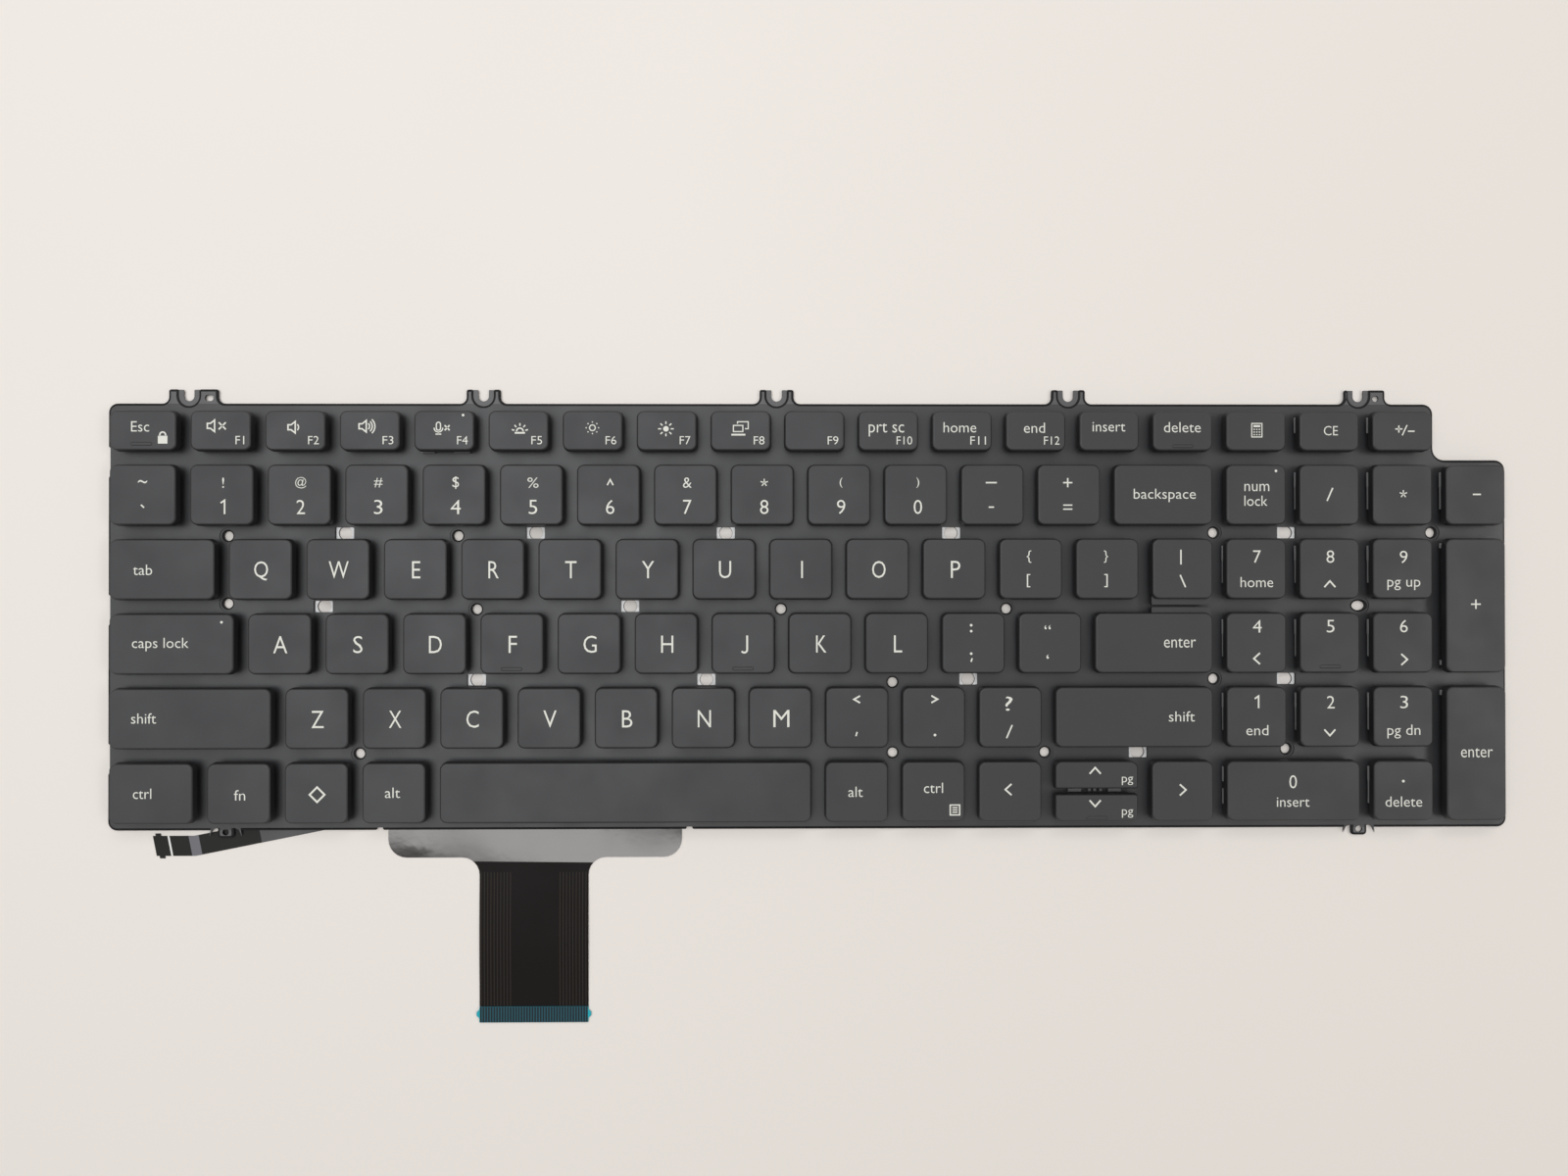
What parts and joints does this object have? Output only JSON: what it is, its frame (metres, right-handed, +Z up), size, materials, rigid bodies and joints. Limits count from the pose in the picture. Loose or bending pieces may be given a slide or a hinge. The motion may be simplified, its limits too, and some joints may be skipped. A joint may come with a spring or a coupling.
{
  "type": "laptop replacement keyboard",
  "caption": "Low laptop keyboard module with number pad: scissor keys on a thin steel plate with rear screw ears, switch film with a ribbon tail, light guide beneath.",
  "frame": {"origin": "middle of the plate's outline, on the surface that the keyboard lies on", "axes": "+X along the key rows to the number pad, +Y to the function row, +Z up through the key tops"},
  "size_m": [0.3454, 0.1561, 0.0047],
  "materials": {
    "plate": "matt black paint on stamped steel",
    "film": "black printed polyester film",
    "stiffener": "blue stiffener film with contact stripes",
    "guide": "translucent white light guide",
    "lead": "black flat lead",
    "rubber": "translucent rubber",
    "links": "grey moulded plastic",
    "caps": "fine-grained charcoal plastic, cream legends"
  },
  "bodies": {
    "chassis": {"support_plate": "plate", "membrane": "film", "tail_stiffener": "stiffener", "backlight_guide": "guide", "backlight_lead": "lead", "rubber_domes": "rubber", "outer_links": "links", "inner_links": "links", "upper_row_keys": "caps", "numeric_pad_keys": "caps"},
    "key_tab": {"key_tab": "caps"},
    "key_q": {"key_q": "caps"},
    "key_w": {"key_w": "caps"},
    "key_e": {"key_e": "caps"},
    "key_r": {"key_r": "caps"},
    "key_t": {"key_t": "caps"},
    "key_y": {"key_y": "caps"},
    "key_u": {"key_u": "caps"},
    "key_i": {"key_i": "caps"},
    "key_o": {"key_o": "caps"},
    "key_p": {"key_p": "caps"},
    "key_bracket_open": {"key_bracket_open": "caps"},
    "key_bracket_close": {"key_bracket_close": "caps"},
    "key_backslash": {"key_backslash": "caps"},
    "key_caps_lock": {"key_caps_lock": "caps"},
    "key_a": {"key_a": "caps"},
    "key_s": {"key_s": "caps"},
    "key_d": {"key_d": "caps"},
    "key_f": {"key_f": "caps"},
    "key_g": {"key_g": "caps"},
    "key_h": {"key_h": "caps"},
    "key_j": {"key_j": "caps"},
    "key_k": {"key_k": "caps"},
    "key_l": {"key_l": "caps"},
    "key_semicolon": {"key_semicolon": "caps"},
    "key_apostrophe": {"key_apostrophe": "caps"},
    "key_enter": {"key_enter": "caps"},
    "key_shift_left": {"key_shift_left": "caps"},
    "key_z": {"key_z": "caps"},
    "key_x": {"key_x": "caps"},
    "key_c": {"key_c": "caps"},
    "key_v": {"key_v": "caps"},
    "key_b": {"key_b": "caps"},
    "key_n": {"key_n": "caps"},
    "key_m": {"key_m": "caps"},
    "key_comma": {"key_comma": "caps"},
    "key_period": {"key_period": "caps"},
    "key_slash": {"key_slash": "caps"},
    "key_shift_right": {"key_shift_right": "caps"},
    "key_ctrl_left": {"key_ctrl_left": "caps"},
    "key_fn": {"key_fn": "caps"},
    "key_system": {"key_system": "caps"},
    "key_alt_left": {"key_alt_left": "caps"},
    "key_space": {"key_space": "caps"},
    "key_alt_right": {"key_alt_right": "caps"},
    "key_ctrl_right": {"key_ctrl_right": "caps"},
    "key_arrow_left": {"key_arrow_left": "caps"},
    "key_arrow_up": {"key_arrow_up": "caps"},
    "key_arrow_down": {"key_arrow_down": "caps"},
    "key_arrow_right": {"key_arrow_right": "caps"}
  },
  "joints": [
    {"name": "press_tab", "type": "slide", "parent": "chassis", "child": "key_tab", "axis": [0, 0, -1], "range_m": [0, 0.0014], "stiffness_N_per_m": 300, "springref_m": -0.0005, "deforming": ["rubber_domes", "outer_links", "inner_links"]},
    {"name": "press_q", "type": "slide", "parent": "chassis", "child": "key_q", "axis": [0, 0, -1], "range_m": [0, 0.0014], "stiffness_N_per_m": 300, "springref_m": -0.0005, "deforming": ["rubber_domes", "outer_links", "inner_links"]},
    {"name": "press_w", "type": "slide", "parent": "chassis", "child": "key_w", "axis": [0, 0, -1], "range_m": [0, 0.0014], "stiffness_N_per_m": 300, "springref_m": -0.0005, "deforming": ["rubber_domes", "outer_links", "inner_links"]},
    {"name": "press_e", "type": "slide", "parent": "chassis", "child": "key_e", "axis": [0, 0, -1], "range_m": [0, 0.0014], "stiffness_N_per_m": 300, "springref_m": -0.0005, "deforming": ["rubber_domes", "outer_links", "inner_links"]},
    {"name": "press_r", "type": "slide", "parent": "chassis", "child": "key_r", "axis": [0, 0, -1], "range_m": [0, 0.0014], "stiffness_N_per_m": 300, "springref_m": -0.0005, "deforming": ["rubber_domes", "outer_links", "inner_links"]},
    {"name": "press_t", "type": "slide", "parent": "chassis", "child": "key_t", "axis": [0, 0, -1], "range_m": [0, 0.0014], "stiffness_N_per_m": 300, "springref_m": -0.0005, "deforming": ["rubber_domes", "outer_links", "inner_links"]},
    {"name": "press_y", "type": "slide", "parent": "chassis", "child": "key_y", "axis": [0, 0, -1], "range_m": [0, 0.0014], "stiffness_N_per_m": 300, "springref_m": -0.0005, "deforming": ["rubber_domes", "outer_links", "inner_links"]},
    {"name": "press_u", "type": "slide", "parent": "chassis", "child": "key_u", "axis": [0, 0, -1], "range_m": [0, 0.0014], "stiffness_N_per_m": 300, "springref_m": -0.0005, "deforming": ["rubber_domes", "outer_links", "inner_links"]},
    {"name": "press_i", "type": "slide", "parent": "chassis", "child": "key_i", "axis": [0, 0, -1], "range_m": [0, 0.0014], "stiffness_N_per_m": 300, "springref_m": -0.0005, "deforming": ["rubber_domes", "outer_links", "inner_links"]},
    {"name": "press_o", "type": "slide", "parent": "chassis", "child": "key_o", "axis": [0, 0, -1], "range_m": [0, 0.0014], "stiffness_N_per_m": 300, "springref_m": -0.0005, "deforming": ["rubber_domes", "outer_links", "inner_links"]},
    {"name": "press_p", "type": "slide", "parent": "chassis", "child": "key_p", "axis": [0, 0, -1], "range_m": [0, 0.0014], "stiffness_N_per_m": 300, "springref_m": -0.0005, "deforming": ["rubber_domes", "outer_links", "inner_links"]},
    {"name": "press_bracket_open", "type": "slide", "parent": "chassis", "child": "key_bracket_open", "axis": [0, 0, -1], "range_m": [0, 0.0014], "stiffness_N_per_m": 300, "springref_m": -0.0005, "deforming": ["rubber_domes", "outer_links", "inner_links"]},
    {"name": "press_bracket_close", "type": "slide", "parent": "chassis", "child": "key_bracket_close", "axis": [0, 0, -1], "range_m": [0, 0.0014], "stiffness_N_per_m": 300, "springref_m": -0.0005, "deforming": ["rubber_domes", "outer_links", "inner_links"]},
    {"name": "press_backslash", "type": "slide", "parent": "chassis", "child": "key_backslash", "axis": [0, 0, -1], "range_m": [0, 0.0014], "stiffness_N_per_m": 300, "springref_m": -0.0005, "deforming": ["rubber_domes", "outer_links", "inner_links"]},
    {"name": "press_caps_lock", "type": "slide", "parent": "chassis", "child": "key_caps_lock", "axis": [0, 0, -1], "range_m": [0, 0.0014], "stiffness_N_per_m": 300, "springref_m": -0.0005, "deforming": ["rubber_domes", "outer_links", "inner_links"]},
    {"name": "press_a", "type": "slide", "parent": "chassis", "child": "key_a", "axis": [0, 0, -1], "range_m": [0, 0.0014], "stiffness_N_per_m": 300, "springref_m": -0.0005, "deforming": ["rubber_domes", "outer_links", "inner_links"]},
    {"name": "press_s", "type": "slide", "parent": "chassis", "child": "key_s", "axis": [0, 0, -1], "range_m": [0, 0.0014], "stiffness_N_per_m": 300, "springref_m": -0.0005, "deforming": ["rubber_domes", "outer_links", "inner_links"]},
    {"name": "press_d", "type": "slide", "parent": "chassis", "child": "key_d", "axis": [0, 0, -1], "range_m": [0, 0.0014], "stiffness_N_per_m": 300, "springref_m": -0.0005, "deforming": ["rubber_domes", "outer_links", "inner_links"]},
    {"name": "press_f", "type": "slide", "parent": "chassis", "child": "key_f", "axis": [0, 0, -1], "range_m": [0, 0.0014], "stiffness_N_per_m": 300, "springref_m": -0.0005, "deforming": ["rubber_domes", "outer_links", "inner_links"]},
    {"name": "press_g", "type": "slide", "parent": "chassis", "child": "key_g", "axis": [0, 0, -1], "range_m": [0, 0.0014], "stiffness_N_per_m": 300, "springref_m": -0.0005, "deforming": ["rubber_domes", "outer_links", "inner_links"]},
    {"name": "press_h", "type": "slide", "parent": "chassis", "child": "key_h", "axis": [0, 0, -1], "range_m": [0, 0.0014], "stiffness_N_per_m": 300, "springref_m": -0.0005, "deforming": ["rubber_domes", "outer_links", "inner_links"]},
    {"name": "press_j", "type": "slide", "parent": "chassis", "child": "key_j", "axis": [0, 0, -1], "range_m": [0, 0.0014], "stiffness_N_per_m": 300, "springref_m": -0.0005, "deforming": ["rubber_domes", "outer_links", "inner_links"]},
    {"name": "press_k", "type": "slide", "parent": "chassis", "child": "key_k", "axis": [0, 0, -1], "range_m": [0, 0.0014], "stiffness_N_per_m": 300, "springref_m": -0.0005, "deforming": ["rubber_domes", "outer_links", "inner_links"]},
    {"name": "press_l", "type": "slide", "parent": "chassis", "child": "key_l", "axis": [0, 0, -1], "range_m": [0, 0.0014], "stiffness_N_per_m": 300, "springref_m": -0.0005, "deforming": ["rubber_domes", "outer_links", "inner_links"]},
    {"name": "press_semicolon", "type": "slide", "parent": "chassis", "child": "key_semicolon", "axis": [0, 0, -1], "range_m": [0, 0.0014], "stiffness_N_per_m": 300, "springref_m": -0.0005, "deforming": ["rubber_domes", "outer_links", "inner_links"]},
    {"name": "press_apostrophe", "type": "slide", "parent": "chassis", "child": "key_apostrophe", "axis": [0, 0, -1], "range_m": [0, 0.0014], "stiffness_N_per_m": 300, "springref_m": -0.0005, "deforming": ["rubber_domes", "outer_links", "inner_links"]},
    {"name": "press_enter", "type": "slide", "parent": "chassis", "child": "key_enter", "axis": [0, 0, -1], "range_m": [0, 0.0014], "stiffness_N_per_m": 300, "springref_m": -0.0005, "deforming": ["rubber_domes", "outer_links", "inner_links"]},
    {"name": "press_shift_left", "type": "slide", "parent": "chassis", "child": "key_shift_left", "axis": [0, 0, -1], "range_m": [0, 0.0014], "stiffness_N_per_m": 300, "springref_m": -0.0005, "deforming": ["rubber_domes", "outer_links", "inner_links"]},
    {"name": "press_z", "type": "slide", "parent": "chassis", "child": "key_z", "axis": [0, 0, -1], "range_m": [0, 0.0014], "stiffness_N_per_m": 300, "springref_m": -0.0005, "deforming": ["rubber_domes", "outer_links", "inner_links"]},
    {"name": "press_x", "type": "slide", "parent": "chassis", "child": "key_x", "axis": [0, 0, -1], "range_m": [0, 0.0014], "stiffness_N_per_m": 300, "springref_m": -0.0005, "deforming": ["rubber_domes", "outer_links", "inner_links"]},
    {"name": "press_c", "type": "slide", "parent": "chassis", "child": "key_c", "axis": [0, 0, -1], "range_m": [0, 0.0014], "stiffness_N_per_m": 300, "springref_m": -0.0005, "deforming": ["rubber_domes", "outer_links", "inner_links"]},
    {"name": "press_v", "type": "slide", "parent": "chassis", "child": "key_v", "axis": [0, 0, -1], "range_m": [0, 0.0014], "stiffness_N_per_m": 300, "springref_m": -0.0005, "deforming": ["rubber_domes", "outer_links", "inner_links"]},
    {"name": "press_b", "type": "slide", "parent": "chassis", "child": "key_b", "axis": [0, 0, -1], "range_m": [0, 0.0014], "stiffness_N_per_m": 300, "springref_m": -0.0005, "deforming": ["rubber_domes", "outer_links", "inner_links"]},
    {"name": "press_n", "type": "slide", "parent": "chassis", "child": "key_n", "axis": [0, 0, -1], "range_m": [0, 0.0014], "stiffness_N_per_m": 300, "springref_m": -0.0005, "deforming": ["rubber_domes", "outer_links", "inner_links"]},
    {"name": "press_m", "type": "slide", "parent": "chassis", "child": "key_m", "axis": [0, 0, -1], "range_m": [0, 0.0014], "stiffness_N_per_m": 300, "springref_m": -0.0005, "deforming": ["rubber_domes", "outer_links", "inner_links"]},
    {"name": "press_comma", "type": "slide", "parent": "chassis", "child": "key_comma", "axis": [0, 0, -1], "range_m": [0, 0.0014], "stiffness_N_per_m": 300, "springref_m": -0.0005, "deforming": ["rubber_domes", "outer_links", "inner_links"]},
    {"name": "press_period", "type": "slide", "parent": "chassis", "child": "key_period", "axis": [0, 0, -1], "range_m": [0, 0.0014], "stiffness_N_per_m": 300, "springref_m": -0.0005, "deforming": ["rubber_domes", "outer_links", "inner_links"]},
    {"name": "press_slash", "type": "slide", "parent": "chassis", "child": "key_slash", "axis": [0, 0, -1], "range_m": [0, 0.0014], "stiffness_N_per_m": 300, "springref_m": -0.0005, "deforming": ["rubber_domes", "outer_links", "inner_links"]},
    {"name": "press_shift_right", "type": "slide", "parent": "chassis", "child": "key_shift_right", "axis": [0, 0, -1], "range_m": [0, 0.0014], "stiffness_N_per_m": 300, "springref_m": -0.0005, "deforming": ["rubber_domes", "outer_links", "inner_links"]},
    {"name": "press_ctrl_left", "type": "slide", "parent": "chassis", "child": "key_ctrl_left", "axis": [0, 0, -1], "range_m": [0, 0.0014], "stiffness_N_per_m": 300, "springref_m": -0.0005, "deforming": ["rubber_domes", "outer_links", "inner_links"]},
    {"name": "press_fn", "type": "slide", "parent": "chassis", "child": "key_fn", "axis": [0, 0, -1], "range_m": [0, 0.0014], "stiffness_N_per_m": 300, "springref_m": -0.0005, "deforming": ["rubber_domes", "outer_links", "inner_links"]},
    {"name": "press_system", "type": "slide", "parent": "chassis", "child": "key_system", "axis": [0, 0, -1], "range_m": [0, 0.0014], "stiffness_N_per_m": 300, "springref_m": -0.0005, "deforming": ["rubber_domes", "outer_links", "inner_links"]},
    {"name": "press_alt_left", "type": "slide", "parent": "chassis", "child": "key_alt_left", "axis": [0, 0, -1], "range_m": [0, 0.0014], "stiffness_N_per_m": 300, "springref_m": -0.0005, "deforming": ["rubber_domes", "outer_links", "inner_links"]},
    {"name": "press_space", "type": "slide", "parent": "chassis", "child": "key_space", "axis": [0, 0, -1], "range_m": [0, 0.0014], "stiffness_N_per_m": 300, "springref_m": -0.0005, "deforming": ["rubber_domes", "outer_links", "inner_links"]},
    {"name": "press_alt_right", "type": "slide", "parent": "chassis", "child": "key_alt_right", "axis": [0, 0, -1], "range_m": [0, 0.0014], "stiffness_N_per_m": 300, "springref_m": -0.0005, "deforming": ["rubber_domes", "outer_links", "inner_links"]},
    {"name": "press_ctrl_right", "type": "slide", "parent": "chassis", "child": "key_ctrl_right", "axis": [0, 0, -1], "range_m": [0, 0.0014], "stiffness_N_per_m": 300, "springref_m": -0.0005, "deforming": ["rubber_domes", "outer_links", "inner_links"]},
    {"name": "press_arrow_left", "type": "slide", "parent": "chassis", "child": "key_arrow_left", "axis": [0, 0, -1], "range_m": [0, 0.0014], "stiffness_N_per_m": 300, "springref_m": -0.0005, "deforming": ["rubber_domes", "outer_links", "inner_links"]},
    {"name": "press_arrow_up", "type": "slide", "parent": "chassis", "child": "key_arrow_up", "axis": [0, 0, -1], "range_m": [0, 0.0014], "stiffness_N_per_m": 300, "springref_m": -0.0005, "deforming": ["rubber_domes", "outer_links", "inner_links"]},
    {"name": "press_arrow_down", "type": "slide", "parent": "chassis", "child": "key_arrow_down", "axis": [0, 0, -1], "range_m": [0, 0.0014], "stiffness_N_per_m": 300, "springref_m": -0.0005, "deforming": ["rubber_domes", "outer_links", "inner_links"]},
    {"name": "press_arrow_right", "type": "slide", "parent": "chassis", "child": "key_arrow_right", "axis": [0, 0, -1], "range_m": [0, 0.0014], "stiffness_N_per_m": 300, "springref_m": -0.0005, "deforming": ["rubber_domes", "outer_links", "inner_links"]}
  ]
}
